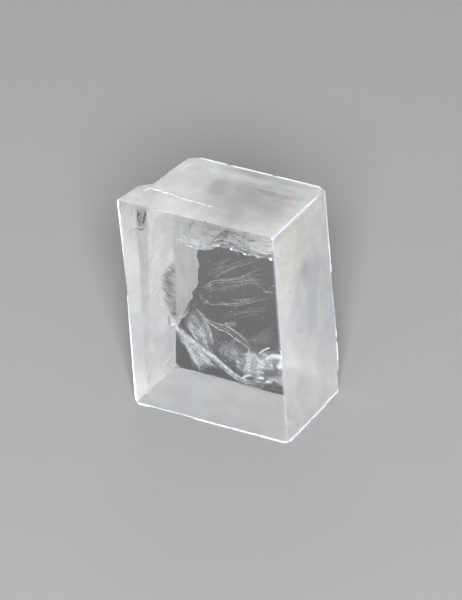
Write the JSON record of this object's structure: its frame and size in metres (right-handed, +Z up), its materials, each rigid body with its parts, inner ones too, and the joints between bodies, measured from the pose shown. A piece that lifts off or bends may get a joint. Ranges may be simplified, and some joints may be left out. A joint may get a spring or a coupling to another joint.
{
  "type": "clear calcite cleavage rhomb",
  "caption": "Clear, colourless calcite cleavage rhomb (Iceland spar) with a broken upper corner, standing on its small flat end face.",
  "frame": {"origin": "centre of the unbroken bottom face, on the surface the crystal stands on", "axes": "+Z up, square to the bottom face; +X along the front bottom edge, left to right; +Y from the front face towards the back"},
  "size_m": [0.0473, 0.0322, 0.0426],
  "materials": {
    "clear_calcite": "clear, colourless crystal with bright cleavage faces, milky haze near the skin and silvery fractures inside"
  },
  "bodies": {
    "root": {"calcite_rhomb": "clear_calcite"}
  },
  "joints": []
}
